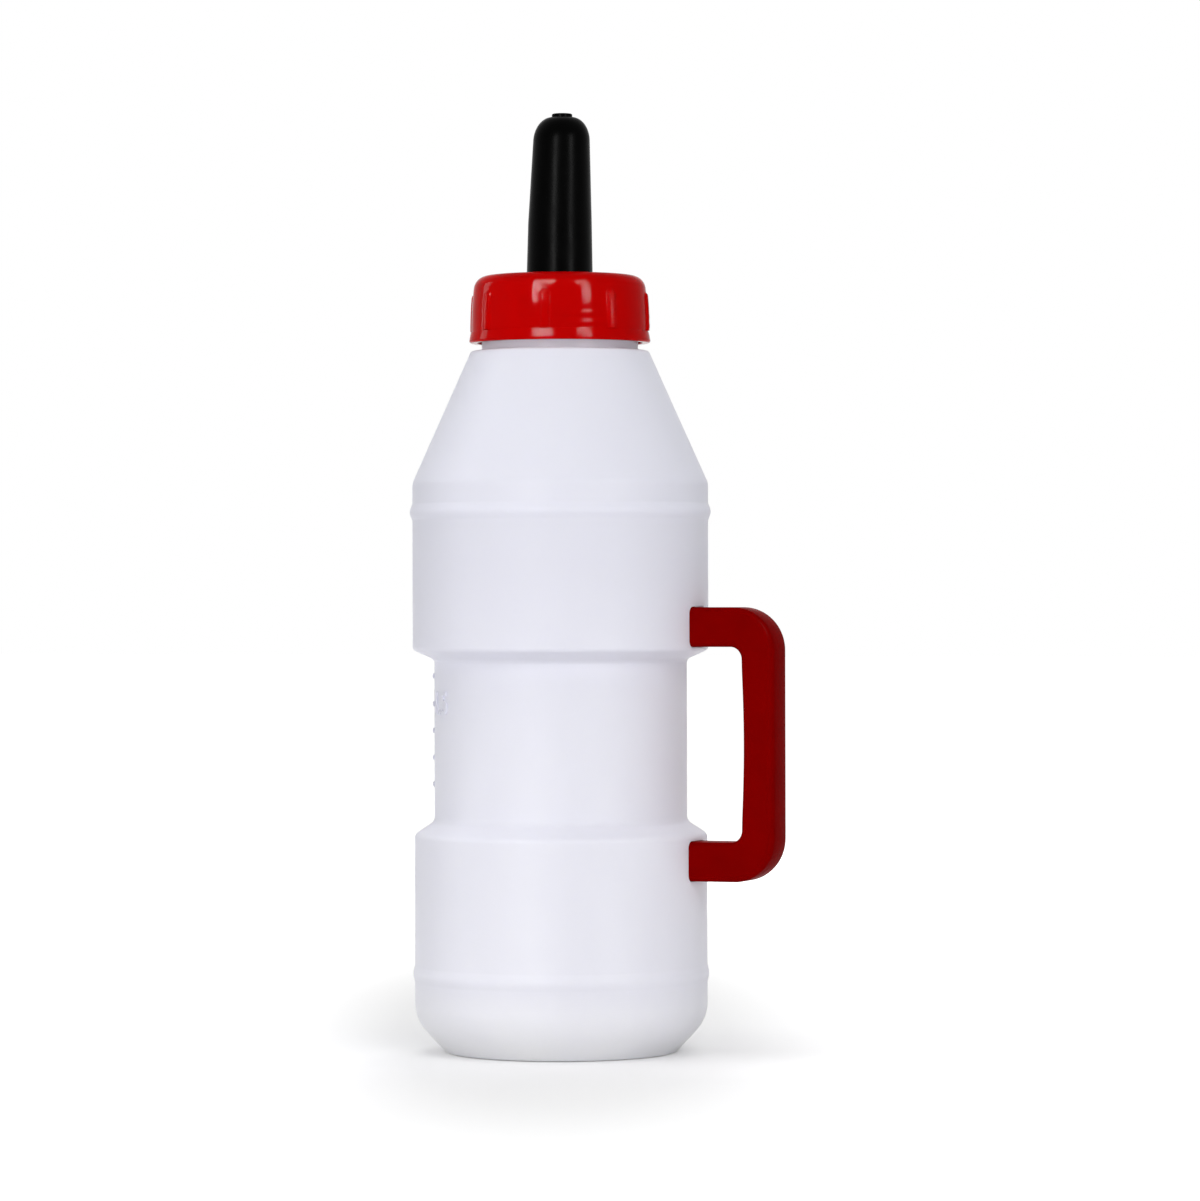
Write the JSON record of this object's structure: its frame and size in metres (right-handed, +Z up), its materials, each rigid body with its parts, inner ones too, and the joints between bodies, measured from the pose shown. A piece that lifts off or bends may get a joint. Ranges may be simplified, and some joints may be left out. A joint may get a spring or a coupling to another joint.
{
  "type": "livestock nursing bottle",
  "caption": "Calf nursing bottle: waisted milky bottle with a clip-in side handle, and a ribbed screw cap that holds a rubber teat over a ball valve.",
  "frame": {"origin": "on the surface that the bottle stands on, under the middle of the whole outline, so the bottle's own axis is at x = -0.01775", "axes": "+Z up along the bottle's axis to the teat's tip, +X from the bottle's axis to the handle's grip, +Y across the handle"},
  "size_m": [0.165, 0.1294, 0.4031],
  "materials": {
    "bottle_plastic": "milky translucent polyethylene, satin from the mould",
    "handle_plastic": "dark red moulded polypropylene, satin",
    "cap_plastic": "bright red moulded polypropylene, glossy",
    "teat_rubber": "black rubber, soft sheen",
    "valve_plastic": "natural white moulded plastic",
    "ball_plastic": "red plastic ball, smooth",
    "washer_rubber": "grey silicone, matte"
  },
  "bodies": {
    "bottle": {"bottle": "bottle_plastic", "handle": "handle_plastic"},
    "valve": {"rim_washer": "washer_rubber", "valve_plate": "valve_plastic", "ball_retainer": "valve_plastic"},
    "ball": {"valve_ball": "ball_plastic"},
    "teat": {"teat": "teat_rubber"},
    "cap": {"screw_cap": "cap_plastic"}
  },
  "joints": [
    {"name": "closure_lift", "type": "slide", "parent": "bottle", "child": "valve", "axis": [0, 0, 1], "range_m": [0, 0.12]},
    {"name": "ball_float", "type": "slide", "parent": "valve", "child": "ball", "axis": [0, 0, 1], "range_m": [0, 0.0035]},
    {"name": "cap_rise", "type": "slide", "parent": "valve", "child": "teat", "axis": [0, 0, 1], "range_m": [0, 0.00901]},
    {"name": "cap_turn", "type": "hinge", "parent": "teat", "child": "cap", "pos_m": [-0.01775, 0, 0.3188], "axis": [0, 0, 1], "range_deg": [0, 540]}
  ],
  "couplings": [
    {"joint": "cap_rise", "follows": "cap_turn", "m_per_rad": 0.00095493}
  ]
}
